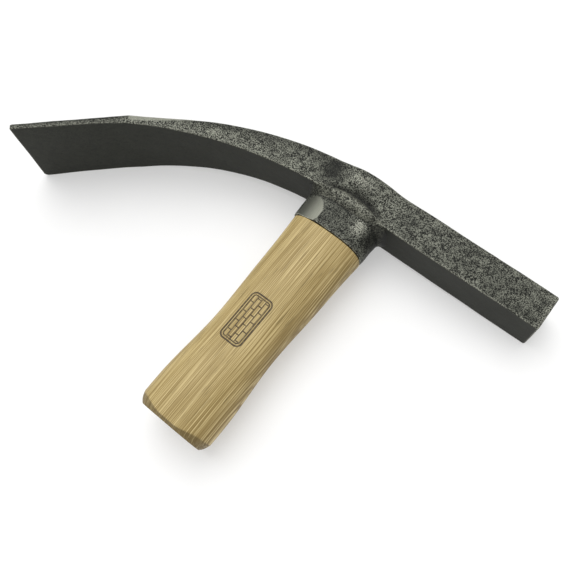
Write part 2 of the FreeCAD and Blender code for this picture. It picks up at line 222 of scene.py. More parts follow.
def skin(name, rings, masks=(), cap="fan", across=0):
    """A closed mesh through rings of points. The ends are closed by a point in the middle ("fan"), by a grid
    ("grid"), or by joining the last ring to the first ("band")."""
    rows, count, _ = rings.shape
    vertices = [rings.reshape(rows * count, -1)]
    faces = []
    around = [(i, (i + 1) % count) for i in range(count)]
    for row in range(rows if cap == "band" else rows - 1):
        this = row * count
        following = (row + 1) % rows * count
        faces += [(this + a, this + b, following + b, following + a) for a, b in around]
    total = rows * count
    for row in (0, rows - 1) if cap != "band" else ():
        start = row * count
        if cap == "fan":
            vertices.append(rings[row].mean(axis=0)[None])
            faces += [(start + a, start + b, total) for a, b in around]
            total += 1
            continue
        deep = count // 2 - across
        grid = grid_cap(rings[row], across, deep)
        numbers = np.zeros((across + 1, deep + 1), int)
        closed = [start + i % count for i in range(count + 1)]
        numbers[:, 0], numbers[-1, :], numbers[:, -1], numbers[0, :] = borders(closed, across, deep)
        inside = grid[1:-1, 1:-1].reshape(-1, grid.shape[2])
        numbers[1:-1, 1:-1] = total + np.arange(len(inside)).reshape(across - 1, deep - 1)
        vertices.append(inside)
        total += len(inside)
        faces += [
            (int(numbers[i, j]), int(numbers[i + 1, j]), int(numbers[i + 1, j + 1]), int(numbers[i, j + 1]))
            for i in range(across) for j in range(deep)
        ]
    return link(name, np.concatenate(vertices), faces, masks)


def mask_values(obj, name):
    values = np.zeros(len(obj.data.vertices), np.float32)
    obj.data.attributes[name].data.foreach_get("value", values)
    return values


def roughen(obj, relief):
    """Moves every point along its normal by relief(points), in millimetres."""
    mesh = obj.data
    count = len(mesh.vertices)
    places = np.zeros(count * 3)
    mesh.vertices.foreach_get("co", places)
    normals = np.zeros(count * 3, np.float32)
    mesh.vertex_normals.foreach_get("vector", normals)
    points = (places.reshape(-1, 3) - np.array(ZERO)) / MM
    moved = points + normals.reshape(-1, 3) * relief(points)[:, None]
    mesh.vertices.foreach_set("co", (moved * MM + np.array(ZERO)).ravel())
    mesh.update()


def carve(obj, tool):
    """Cuts the tool out of the piece."""
    modifier = obj.modifiers.new("carve", "BOOLEAN")
    modifier.operation = "DIFFERENCE"
    modifier.solver = "EXACT"
    modifier.object = tool
    bpy.context.view_layer.update()
    cut = bpy.data.meshes.new_from_object(obj.evaluated_get(bpy.context.evaluated_depsgraph_get()))
    obj.modifiers.clear()
    obj.data = cut


def soften(obj, sharp_from=42):
    """Smooth shading, with edges sharper than the angle kept crisp."""
    obj.data.shade_smooth()
    obj.data.set_sharp_from_angle(angle=math.radians(sharp_from))


def rounding(distance, radius):
    """How far a rounded edge draws back at a distance from the end."""
    inside = radius - np.minimum(distance, radius)
    return radius - np.sqrt(radius**2 - inside**2)


# ------------------------------------------------------------------ the forged head

def trace(start, pieces):
    """A line of closely spaced points from start towards the blade, and its length up to each point. A piece
    is ("to", x, y), or ("arc", radius, degrees) for a curve that turns downwards from level."""
    points = [np.array(start, float)]
    for piece in pieces:
        origin = points[-1]
        if piece[0] == "to":
            points += [origin + (np.array(piece[1:]) - origin) * t for t in np.linspace(0, 1, 201)[1:]]
        else:
            radius = piece[1]
            for turn in np.linspace(0, math.radians(piece[2]), 401)[1:]:
                points.append(origin + radius * np.array((-math.sin(turn), math.cos(turn) - 1)))
    points = np.array(points)
    lengths = np.concatenate([[0], np.cumsum(np.hypot(*np.diff(points, axis=0).T))])
    return points, lengths


def along(path, share):
    points, lengths = path
    wanted = share * lengths[-1]
    return np.stack([np.interp(wanted, lengths, points[:, i]) for i in range(2)], axis=-1)


def head_outline():
    """The belly and the back of the curved part, each from above the eye to the cutting edge."""
    slope = math.radians(BELLY_TURN)
    belly_end = BELLY_START + BELLY_RADIUS * math.sin(slope)
    belly_fall = BELLY_RADIUS * (1 - math.cos(slope))
    edge_x = BLADE_REACH - EDGE_THICKNESS * math.sin(slope)
    edge_y = belly_fall + (edge_x - belly_end) * math.tan(slope)
    back_slope = math.radians(BACK_TURN)
    back_end = BACK_RADIUS * math.sin(back_slope) - BACK_START
    back_level = BLOCK_HEIGHT - BACK_RADIUS * (1 - math.cos(back_slope))
    grind_level = back_level - (GRIND_START - back_end) * math.tan(back_slope)
    belly = trace(
        (BACK_START, 0),
        [("to", -BELLY_START, 0), ("arc", BELLY_RADIUS, BELLY_TURN), ("to", -edge_x, -edge_y)],
    )
    back = trace(
        (BACK_START, BLOCK_HEIGHT),
        [
            ("arc", BACK_RADIUS, BACK_TURN),
            ("to", -GRIND_START, grind_level),
            ("to", -BLADE_REACH, EDGE_THICKNESS * math.cos(slope) - edge_y),
        ],
    )
    return belly, back


def bar_half(x):
    """Half width of the bar at a place along the head."""
    angle = math.radians(FLARE_ANGLE)
    reach = -x
    flare_length = FLARE_RADIUS * math.sin(angle)
    flare_end = FLARE_START + flare_length
    curved = np.clip(reach - FLARE_START, 0, flare_length)
    half = BAR_HALF + FLARE_RADIUS - np.sqrt(FLARE_RADIUS**2 - curved**2)
    half = half + np.clip(reach - flare_end, 0, GRIND_START - flare_end) * math.tan(angle)
    at_grind = (
        BAR_HALF + FLARE_RADIUS * (1 - math.cos(angle)) + (GRIND_START - flare_end) * math.tan(angle)
    )
    tip_share = np.clip((reach - GRIND_START) / (BLADE_REACH - GRIND_START), 0, 1)
    return half + (EDGE_HALF - at_grind) * tip_share


# How many steps a section of the bar has round half a corner, across the bar and down its side.
CORNER_STEPS = 3
ACROSS_STEPS = 34
DEEP_STEPS = 25
SECTION_ACROSS = ACROSS_STEPS + 2 * CORNER_STEPS

# What every steel mesh says about its surface, point by point, and where light and shade are painted on it:
# speckle with painted glints, wear with painted highlights, ground metal, and painted shade with cleaner
# scale.
MASKS = ("speckle_and_glint", "wear_and_highlight", "ground", "shade_and_clean")

# How far the head's edges are rounded: round the striking face, the corners of the cutting edge (the one
# that lies down is the more worn), the cutting edge itself, and the bar's lower and upper long edges.
FACE_ROUND = 1.5
LOWER_CORNER_ROUND = 3.4
UPPER_CORNER_ROUND = 1.4
EDGE_ROUND = 0.7
BELLY_ROUND = 0.8
BACK_ROUND = 0.9
LEAST_ROUND = 0.12

# The strip ground along the back's edges, from the kink to where it runs out towards the eye: its width at
# places along x. The back's edges are rounder there and round the eye, by up to EASED_MORE.
STRIP_PLACES = (-133.0, -131.5, -120.0, -97.0)
STRIP_WIDTHS = (0.0, 3.9, 3.4, 0.0)
EASED_PLACES = (-170.0, -131.0, -97.0)
EASED_SHARES = (0.0, 1.0, 0.0)
EASED_MORE = 0.6

# The full cheek beside the eye.
CHEEK_X = 0.5
CHEEK_LEVEL = 14.5
CHEEK_RISE = 2.2
GROOVE_DEPTH = 1.4
DENT_DEPTH = 1.1


def rounded_section(half, depth, low_round, high_round, flatness):
    """A rectangle in (z, depth) columns, with rounded lower corners and rounded or flattened upper ones."""
    corners = [
        (-half + low_round, low_round, low_round, 180, 0.0),
        (half - low_round, low_round, low_round, 270, 0.0),
        (half - high_round, depth - high_round, high_round, 0, flatness),
        (-half + high_round, depth - high_round, high_round, 90, flatness),
    ]
    arcs = []
    for z, height, radius, first, flat in corners:
        turn = np.radians(np.linspace(first, first + 90, 2 * CORNER_STEPS + 1))
        arc = np.stack([z + radius * np.cos(turn), height + radius * np.sin(turn)], axis=1)
        chord = np.linspace(arc[0], arc[-1], len(arc))
        arcs.append(arc + (chord - arc) * flat)
    ring = []
    for index, arc in enumerate(arcs):
        steps = ACROSS_STEPS if index % 2 == 0 else DEEP_STEPS
        following = arcs[(index + 1) % 4][0]
        ring += [arc, np.linspace(arc[-1], following, steps + 1)[1:-1]]
    return np.roll(np.concatenate(ring), -CORNER_STEPS, axis=0)


def head_stations():
    """Belly and back points of every section, and its distances from the striking face and cutting edge.
    Sections are close together where an end is rounded."""
    belly, back = head_outline()
    face_zone = 2.2
    edge_zone = 2.4
    near_face = face_zone * (1 - np.cos(np.linspace(0, math.pi / 2, 6)))
    along_block = np.linspace(face_zone, BLOCK_REACH - BACK_START, 160)
    from_face = np.concatenate([near_face[:-1], along_block[:-1]])
    block_x = BLOCK_REACH - from_face
    near_edge = edge_zone * (1 - np.cos(np.linspace(0, math.pi / 2, 8)))
    curve_length = (belly[1][-1] + back[1][-1]) / 2
    along_curve = np.linspace(0, curve_length - edge_zone, 300)
    from_start = np.concatenate([along_curve, curve_length - near_edge[-2::-1]])
    share = from_start / curve_length
    lower = np.concatenate([np.stack([block_x, 0 * block_x], axis=1), along(belly, share)])
    upper = np.concatenate([np.stack([block_x, 0 * block_x + BLOCK_HEIGHT], axis=1), along(back, share)])
    far = 1000.0
    face_distance = np.concatenate([from_face, np.full(len(share), far)])
    edge_distance = np.concatenate([np.full(len(block_x), far), curve_length - from_start])
    return lower, upper, face_distance, edge_distance


def cheek_relief(x, y):
    """How far the sides stand out round the eye, and how much painted shade darkens their hollows: a full
    cheek, a groove over the weld and a dent beside the cheek."""
    below = hump(y, CHEEK_LEVEL, 4.6, 2.4)
    above = hump(y, CHEEK_LEVEL, 11.0)
    cheek = hump(x, CHEEK_X, 14.5, 2.6) * np.where(y < CHEEK_LEVEL, below, above)
    groove_level = 6.2 - 0.011 * (x - 2) ** 2
    groove = hump(y, groove_level, 2.1) * hump(x, 1.5, 19, 6)
    dent = hump(x, -20.0, 7.0) * hump(y, 12.5, 7.5, 3)
    relief = CHEEK_RISE * cheek - GROOVE_DEPTH * groove - DENT_DEPTH * dent
    return relief, np.clip(groove + 1.15 * dent, 0, 1)


def strongest(*masks):
    """The greatest of several masks at each point."""
    most = masks[0]
    for mask in masks[1:]:
        most = np.maximum(most, mask)
    return most


def head_ring(low, high, from_face, from_edge):
    """The ring between a belly point and a back point: x, y, z and a column for every mask."""
    direction = high - low
    depth = np.hypot(*direction)
    direction = direction / depth
    middle_x = (low[0] + high[0]) / 2
    half = float(bar_half(middle_x))
    face_in = rounding(from_face, FACE_ROUND)
    corner_in = rounding(from_edge, LOWER_CORNER_ROUND)
    width_in = face_in + corner_in
    depth_in = face_in + rounding(from_edge, EDGE_ROUND)
    eased = EASED_MORE * (hump(middle_x, 2, 26, 4) + np.interp(high[0], EASED_PLACES, EASED_SHARES))
    low_round = max(BELLY_ROUND - depth_in, LEAST_ROUND)
    high_round = min(max(BACK_ROUND + eased - depth_in, LEAST_ROUND), 0.3 * depth)
    flatness = smoothstep(-92, -102, high[0])
    section = rounded_section(half - width_in, depth - 2 * depth_in, low_round, high_round, flatness)
    tangent = np.roll(section, -1, axis=0) - np.roll(section, 1, axis=0)
    facing = np.abs(tangent[:, 1]) / np.hypot(*tangent.T)
    height = section[:, 1] + depth_in
    under_top = depth - height
    x = low[0] + direction[0] * height
    y = low[1] + direction[1] * height
    z = section[:, 0] * (bar_half(x) / half)
    beside = smoothstep(0.3, 0.75, facing)
    side = smoothstep(0.75, 0.98, np.abs(z) / (half - width_in))
    side = side * smoothstep(-0.2, 0.9, height) * smoothstep(-0.2, 0.9, under_top)

    # Bright wear along the long edges, on the striking face and beside it, low on the blade's sides and
    # along
    #     the cutting edge, and a painted highlight on the full cheek.
    inward = half - width_in - np.abs(z)
    to_low_edge = np.hypot(inward, height - depth_in)
    to_high_edge = np.hypot(inward, under_top - depth_in)
    low_on_blade = smoothstep(0.75, 0.35, height / depth) * smoothstep(-25, -80, middle_x)
    wear_and_highlight = strongest(
        hump(to_low_edge, 0, 0.8),
        0.5 * hump(to_high_edge, 0, 1.0),
        0.8 * hump(from_face, 0, 3.0) * (0.1 + 0.9 * beside),
        hump(from_face, 0, 0.7),
        0.38 * beside * low_on_blade,
        hump(from_edge, 0, 0.9),
        0.7 * hump(x, -2, 10) * hump(y, CHEEK_LEVEL, 5.0) * side,
    )

    strip = np.interp(high[0], STRIP_PLACES, STRIP_WIDTHS)
    ground = smoothstep(strip + 0.5, strip - 0.5, under_top) * smoothstep(0.15, 0.45, facing)
    ground = ground * (0.55 + 0.35 * smoothstep(0.95, 0.7, facing))

    # Darker: painted shade in the hollows over the weld and beside the cheek, and cleaner, darker scale on
    # the
    #     tip beyond the kink, the block and the back half of the sides.
    relief, shade_and_clean = cheek_relief(x, y)
    shade_and_clean = strongest(
        shade_and_clean,
        0.55 * smoothstep(-131.5, -134, high[0]),
        0.26 * smoothstep(18, 40, high[0]),
        0.5 * smoothstep(0.5, 0.9, height / depth) * smoothstep(-8, -30, x),
    )
    # The sides take the speckle with its painted glints, the back a little of it; the belly takes none and
    # keeps its partly painted shade.
    back = 0.42 * (under_top < depth_in + 0.2) * (1 - beside)

    z = z + np.sign(z) * relief * side
    # The upper corner of the cutting edge is less rounded than the lower one.
    less_rounded = corner_in - rounding(from_edge, UPPER_CORNER_ROUND)
    z = z * np.where(z > 0, 1 + less_rounded / (half - corner_in), 1)
    return np.stack([x, y, z, strongest(beside, back), wear_and_highlight, ground, shade_and_clean * side], axis=1)


def eye_half(level):
    """Half length and half width of the eye at a level."""
    return part_way(BORE_ROOT, MOUTH, level / MOUTH_LEVEL)


def cut_eye(head):
    """Cuts the tapered eye through the head, from below the bar to above its crown."""
    rows = [oval_row(level, *eye_half(level), 160) for level in np.linspace(-8, 30, 39)]
    tool = skin("eye_tool", np.array(rows))
    carve(head, tool)
    bpy.data.objects.remove(tool)


def make_head():
    lower, upper, face_distance, edge_distance = head_stations()
    crown = (CROWN_TOP - BLOCK_HEIGHT - 0.1) * hump(upper[:, 0], 3, 15.5, 3.2)
    upper = upper + np.stack([0 * crown, crown], axis=1)
    rings = [head_ring(*station) for station in zip(lower, upper, face_distance, edge_distance)]
    head = skin("head_forging", np.array(rings), MASKS, "grid", across=SECTION_ACROSS)
    speckle_and_glint = mask_values(head, "speckle_and_glint")
    ground = mask_values(head, "ground")
    wear_and_highlight = mask_values(head, "wear_and_highlight")

    def relief(points):
        broad = 0.2 * waviness(points, 18.0, 1)
        lumps = 0.16 * waviness(points, 5.0, 2) + 0.09 * waviness(points, 1.9, 3)
        lumps = lumps * (0.15 + 0.85 * speckle_and_glint) * (1 - 0.85 * wear_and_highlight)
        # Drawn in a little, and more at both ends, so that no lump passes the CAD's box.
        x = points[:, 0]
        inset = 0.06 + 0.13 * smoothstep(-145, -170, x) + 0.04 * smoothstep(110, 117, x)
        return (broad + lumps) * (1 - 0.8 * ground) - inset

    roughen(head, relief)
    cut_eye(head)
    soften(head)
    return head


# ------------------------------------------------------------------ socket and weld

def belly_level(x):
    """Level of the bar's underside near the eye."""
    reach = np.clip(-x - BELLY_START, 0, None)
    return np.sqrt(BELLY_RADIUS**2 - reach**2) - BELLY_RADIUS


SOCKET_ROUND = 0.7

# The hollow that was ground on the corner of the blade side that faces up: part of a large ball, pressed
# shorter along the handle.
SCOOP_NORMAL = np.array((-0.454, 0.0, 0.891))
SCOOP_RADIUS = 42.0
SCOOP_SQUEEZE = np.array((1.0, 1.4, 1.0))
SCOOP_BOTTOM = np.array((-14.4, -15.2, 10.9))


def socket_rows(count):
    """The rows of the socket, down its outside and up its bore, each with how much of it is outside."""
    # The forging isn't quite centred on its bore.
    off_centre = -0.5
    rows = []
    for share in np.linspace(0, 1, 34):
        level = -(SOCKET_DEPTH - SOCKET_ROUND) * share
        half = part_way(SOCKET_ROOT, SOCKET_RIM, share)
        rows.append((oval_row(level, *half, count, drift=off_centre), 1.0))
    for turn in np.radians((22, 45, 68, 90)):
        drawn = SOCKET_ROUND * (1 - math.cos(turn))
        level = -SOCKET_DEPTH + SOCKET_ROUND * (1 - math.sin(turn))
        rim = oval_row(level, SOCKET_RIM[0] - drawn, SOCKET_RIM[1] - drawn, count, drift=off_centre)
        rows.append((rim, 1.0))
    flat_rim = [size - SOCKET_ROUND for size in SOCKET_RIM]
    for share in (0.35, 0.7):
        half = part_way(flat_rim, BORE_RIM, share)
        rows.append((oval_row(-SOCKET_DEPTH, *half, count, drift=off_centre * (1 - share)), 0.5))
    for share in np.linspace(0, 1, 14):
        half = part_way(BORE_RIM, BORE_ROOT, share)
        rows.append((oval_row(-SOCKET_DEPTH * (1 - share), *half, count), 0.0))
    for share in (0.33, 0.67):
        rows.append((oval_row(0, *part_way(BORE_ROOT, SOCKET_ROOT, share), count), 0.0))
    return rows


def socket_ring(row, outside):
    """A row of the socket, bent to the bar's belly and dented, with a column for every mask."""
    fitted = 1 + row[:, 1] / SOCKET_DEPTH
    row[:, 1] += belly_level(row[:, 0]) * fitted
    spread = np.hypot(row[:, 0] / SOCKET_ROOT[0], row[:, 2] / SOCKET_ROOT[1])[:, None]
    outward = row * (1, 0, 1) / spread / (SOCKET_ROOT[0], 1, SOCKET_ROOT[1])
    outward = outward / np.linalg.norm(outward, axis=1)[:, None]
    upper = row[:, 2] > 0
    swell = 0.8 * hump(row[:, 0], 15.5, 5.5) * hump(row[:, 1], -8, 6) * upper
    trough = 0.4 * hump(row[:, 0], 4, 6) * hump(row[:, 1], -11, 7) * upper
    row = row + outward * ((swell - trough) * outside)[:, None]

    ball_middle = SCOOP_BOTTOM + SCOOP_NORMAL * SCOOP_RADIUS
    reach = np.linalg.norm((row - ball_middle) * SCOOP_SQUEEZE, axis=1)
    scooped = np.clip(SCOOP_RADIUS - reach, 0, 2.6) * (outside > 0)
    row = row - SCOOP_NORMAL * scooped[:, None]
    in_scoop = smoothstep(0.0, 0.1, scooped)
    x, y, z = row.T

    # Ground bright metal in the scoop, faded towards its left end: painted shade on the part that faces away
    # from the light.
    ground = in_scoop * (0.1 + 0.9 * smoothstep(-21, -9, x))
    on_rim = outside == 1.0 and y.min() < -SOCKET_DEPTH + 0.45
    # Bright rim wear, and a pale spot on the block's side that is part rub and part painted highlight.
    rub_and_highlight = 1.3 * hump(x, 13.0, 3.6) * hump(y, -8.0, 5.4) * upper * outside
    wear_and_highlight = np.maximum(0.8 if on_rim else 0.0, rub_and_highlight)
    speckle_and_glint = outside * (1 - in_scoop)
    # Painted shade under the weld's ridge and on the block's end of the socket, which turns away from the
    # light.
    under_ridge = 0.9 * hump(y, -3.9, 1.5) * smoothstep(6, 0, x)
    turned_away = 0.75 * smoothstep(16.5, 20, x) * smoothstep(-17, -10, y)
    shade_and_clean = np.maximum(under_ridge, turned_away) * outside
    return np.stack([x, y, z, speckle_and_glint, wear_and_highlight, ground, shade_and_clean], axis=1)


def make_socket():
    rings = [socket_ring(row, outside) for row, outside in socket_rows(200)]
    socket = skin("socket_collar", np.array(rings), MASKS, "band")
    speckle_and_glint = mask_values(socket, "speckle_and_glint")

    def relief(points):
        lumps = 0.3 * waviness(points, 7.0, 5) + 0.12 * waviness(points, 2.4, 6)
        return speckle_and_glint * (lumps + 0.06 * waviness(points, 1.1, 7))

    roughen(socket, relief)
    soften(socket)
    return socket


def make_weld():
    """A lumpy fillet round the socket that climbs over the bar's lower edges and ends in a ridge there."""
    count = 260
    off_centre = -0.3
    # half length, half width, power of the oval, level at the sides, level under the bar, roughness and its
    # painted glints
    profile = [
        (24.0, 14.95, 2.47, -3.9, -4.8, 0.3),
        (24.2, 15.35, 2.5, -3.3, -4.0, 0.8),
        (24.45, 15.7, 2.6, -2.6, -3.2, 1.0),
        (24.8, 16.0, 2.8, -1.7, -2.3, 1.0),
        (25.2, 16.3, 3.0, -0.7, -1.55, 1.0),
        (25.7, 16.55, 3.3, 0.5, -0.9, 1.0),
        (26.3, 16.7, 3.6, 1.7, -0.4, 0.9),
        (26.8, 16.6, 3.7, 2.5, -0.05, 0.7),
        (27.0, 16.2, 3.8, 3.3, 0.3, 0.7),
        (27.1, 15.5, 3.8, 4.2, 0.5, 0.6),
        (27.1, 14.5, 3.8, 5.2, 0.7, 0.5),
        (26.8, 13.3, 3.8, 6.1, 0.8, 0.3),
        (26.2, 12.0, 3.8, 6.8, 0.9, 0.0),
        (22.4, 11.6, 3.0, 2.0, 0.9, 0.0),
        (22.2, 13.4, 2.47, -3.6, -4.6, 0.0),
    ]
    rings = []
    for half_length, half_width, power, side_level, end_level, share in profile:
        row = oval_row(0, half_length, half_width, count, power, drift=off_centre)
        beside = smoothstep(11.5, 14.6, np.abs(row[:, 2]))
        drop = 0.4 + 0.6 * hump(row[:, 0], 0, 13, 3)
        sides = np.where(side_level > 0, side_level * drop, side_level)
        row[:, 1] = sides * beside + (end_level + belly_level(row[:, 0])) * (1 - beside)
        # Paler along the sides, partly wear and partly a painted highlight on the ridge's crown; where the
        # fillet lies under the bar, painted shade and no glints.
        wear_and_highlight = (0.42 if 0.4 < side_level < 4 else 0.2) * beside
        under = (1 - beside) * smoothstep(23.5, 25.5, np.abs(row[:, 0]))
        speckle_and_glint = share * (1 - under)
        shade_and_clean = (1 - beside) * (0.7 + 0.3 * under)
        rings.append(np.stack([*row.T, speckle_and_glint, wear_and_highlight, 0 * wear_and_highlight, shade_and_clean], axis=1))
    coarse = np.array(rings)
    fine = []
    for ring, following in zip(coarse, np.roll(coarse, -1, axis=0)):
        fine += [ring, (ring + following) / 2]
    weld = skin("weld_ridge", np.array(fine), MASKS, "band")
    speckle_and_glint = mask_values(weld, "speckle_and_glint")

    def relief(points):
        lumps = 0.55 * waviness(points, 5.5, 8) + 0.3 * waviness(points, 2.3, 9)
        return speckle_and_glint * (lumps + 0.1 * waviness(points, 1.0, 10))

    roughen(weld, relief)
    soften(weld, 60)
    return weld


# ------------------------------------------------------------------ handle and wedges

def spline(levels, values, wanted):
    """A smooth curve through the values. Levels fall from first to last."""
    levels = np.array(levels)
    values = np.array(values)
    slopes = np.gradient(values, levels)
    index = np.clip(np.searchsorted(-levels, -wanted) - 1, 0, len(levels) - 2)
    width = levels[index + 1] - levels[index]
    t = (wanted - levels[index]) / width
    return (
        (2 * t**3 - 3 * t**2 + 1) * values[index] + (t**3 - 2 * t**2 + t) * width * slopes[index]
        + (3 * t**2 - 2 * t**3) * values[index + 1] + (t**3 - t**2) * width * slopes[index + 1]
    )


# The grip's sides are drawn up to here; below it the sides run down to the cut at the butt.
CUT_FROM = -143.0


def tenon_half(level):
    """Half length and half width of the tenon at a level: the eye's or the bore's, less a clearance."""
    clearance = 0.06
    hole = eye_half(level) if level >= 0 else part_way(BORE_ROOT, BORE_RIM, -level / SOCKET_DEPTH)
    return [size - clearance for size in hole]


def tenon_rows(count):
    """The sawn top, the tenon and the shoulder under the socket's rim."""
    round_off = 0.35
    rows = []
    top_half = tenon_half(TENON_TOP)
    for scale in (0.1, 0.3, 0.5, 0.7, 0.85, 0.96):
        rows.append(oval_row(TENON_TOP, top_half[0] * scale, top_half[1] * scale, count))
    rows.append(oval_row(TENON_TOP, top_half[0] - round_off, top_half[1] - round_off, count))
    in_eye = np.linspace(TENON_TOP - round_off, 0, 14)
    in_bore = np.linspace(-1.5, -19.0, 12)
    for level in np.concatenate([in_eye, in_bore]):
        rows.append(oval_row(level, *tenon_half(level), count))
    shoulder, *shoulder_half, _ = GRIP_SECTIONS[0]
    root = tenon_half(-SOCKET_DEPTH)
    rows.append(oval_row(shoulder + 0.25, *root, count))
    inner = [size + 0.15 for size in root]
    outer = [size - 0.75 for size in shoulder_half]
    for share in (0.0, 0.3, 0.6, 0.8):
        rows.append(oval_row(shoulder, *part_way(inner, outer, share), count))
    return rows


def grip_rows(count):
    """The rounded shoulder and the grip's sides, down to the cut at the butt."""
    levels, lengths, widths, drifts = zip(*GRIP_SECTIONS)
    shoulder = levels[0]
    round_off = 0.7
    rows = []
    for turn in np.radians((0, 30, 60)):
        drawn = round_off * (1 - math.sin(turn))
        level = shoulder - round_off * (1 - math.cos(turn))
        rows.append(oval_row(level, lengths[0] - drawn, widths[0] - drawn, count))
    for level in np.linspace(shoulder - round_off, levels[-1], 128):
        if level > CUT_FROM:
            half = [spline(levels, lengths, level), spline(levels, widths, level)]
            rows.append(oval_row(level, *half, count, drift=spline(levels, drifts, level)))
    return rows


def butt_rows(count):
    """The sides below the grip, the cut round the butt and its flat end. The cut is deep at both narrow ends
    of the oval and shallow on its flanks."""
    levels, lengths, widths, _ = zip(*GRIP_SECTIONS)
    last = oval_row(levels[-1], lengths[-1], widths[-1], count, drift=BUTT_DRIFT)
    end = oval_row(BUTT_LEVEL, *BUTT, count, drift=BUTT_DRIFT)
    at_ends = smoothstep(0.15, 1.0, np.abs(last[:, 0] - BUTT_DRIFT) / lengths[-1])
    start_level = -149.3 + 3.6 * at_ends + 0.5 * waviness(last, (14, 14, 14), 12)
    rows = []
    for share in np.linspace(0, 1, 8):
        level = CUT_FROM + (levels[-1] - CUT_FROM) * share
        half = [spline(levels, lengths, level), spline(levels, widths, level)]
        row = oval_row(0, *half, count, drift=BUTT_DRIFT)
        row[:, 1] = CUT_FROM + (start_level - CUT_FROM) * share
        rows.append(row)
    corner = rows[-1]
    outward = (corner - (BUTT_DRIFT, 0, 0)) * (1, 0, 1)
    outward = outward / np.linalg.norm(outward, axis=1)[:, None] + (0, -0.8, 0)
    for share in (0.05, 0.2, 0.4, 0.6, 0.8, 0.95, 1.0):
        full = 0.4 * math.sin(math.pi * share) * at_ends[:, None]
        rows.append(corner + (end - corner) * share + outward * full)
    middle = np.array((BUTT_DRIFT, BUTT_LEVEL, 0))
    for scale in (0.985, 0.93, 0.8, 0.6, 0.4, 0.2, 0.07):
        rows.append(middle + (end - middle) * scale)
    return rows


def make_handle():
    count = 168
    rings = np.array(tenon_rows(count) + grip_rows(count) + butt_rows(count))
    # How far the wood is cut across its grain: somewhat at the sawn top, wholly at the butt.
    top_rows = 8
    end_rows = 13
    sawn = np.zeros(rings.shape[:2] + (1,))
    sawn[:top_rows] = 0.5
    sawn[-end_rows:] = 1.0
    handle = skin("ash_grip", np.concatenate([rings, sawn], axis=2), ("cut",))

    def relief(points):
        on_grip = smoothstep(-20.6, -24, points[:, 1]) * smoothstep(-151.3, -150.6, points[:, 1])
        broad = 0.1 * waviness(points, (9, 40, 9), 13)
        narrow = 0.03 * waviness(points, (2.2, 30, 2.2), 14)
        return on_grip * (broad + narrow)

    roughen(handle, relief)
    return handle


def make_wedge(name, size, lengthways, seed, masks=()):
    """A tapered wedge with rounded edges and a bruised top, its length along or across the head. Each of the
    masks is a name and its value all over the wedge."""
    proud = 0.24
    round_off = 0.25
    toe = TENON_TOP - size["depth"]
    top = TENON_TOP + proud
    rings = []
    for level in np.concatenate([np.linspace(toe, TENON_TOP - 0.3, 26), [top - 0.12, top]]):
        share = (level - toe) / size["depth"]
        half = (size["toe"] + (size["head"] - size["toe"]) * share) / 2
        drawn = round_off if level > TENON_TOP else 0.0
        half_length = size["half_length"] - drawn
        section = rounded_section(half - drawn, 2 * half_length, round_off, round_off, 0.0)
        thick = section[:, 0]
        long = section[:, 1] - half_length
        height = np.full(len(section), level)
        columns = [long, height, thick] if lengthways else [thick, height, long]
        columns += [np.full(len(section), value) for _, value in masks]
        rings.append(np.stack(columns, axis=1))
    names = [mask for mask, _ in masks]
    wedge = skin(name, np.array(rings), names, "grid", across=SECTION_ACROSS)

    def relief(points):
        on_top = smoothstep(TENON_TOP, top, points[:, 1])
        return on_top * (0.12 * waviness(points, 2.6, seed) + 0.06 * waviness(points, 0.9, seed + 1))

    roughen(wedge, relief)
    return wedge


# ------------------------------------------------------------------ materials

# Colours as they look on a screen, 0 to 255.
# Quiet scale of the belly and ends, darker in part as painted shade.
SHADED_SCALE_DARK = (26, 27, 22)
SHADED_SCALE_PALE = (38, 39, 33)
SHADED_SCALE_SPECK = (64, 66, 58)
# Painted shade in hollows, under the weld's ridge and under the bar, also used for cleaner dark scale.
SHADE_AND_CLEAN_DARK = (22, 23, 20)
GROUND_DARK = (138, 139, 127)
GROUND_PALE = (168, 170, 157)
# Bright wear, also used for painted highlights.
WEAR_AND_HIGHLIGHT_PALE = (164, 165, 152)
BURNT = (44, 32, 20)


def tint(red, green, blue):
    """A colour given as it looks on a screen, 0 to 255, as the linear colour that shaders use."""
    shares = [channel / 255 for channel in (red, green, blue)]
    return tuple(s / 12.92 if s <= 0.04045 else ((s + 0.055) / 1.055) ** 2.4 for s in shares) + (1.0,)


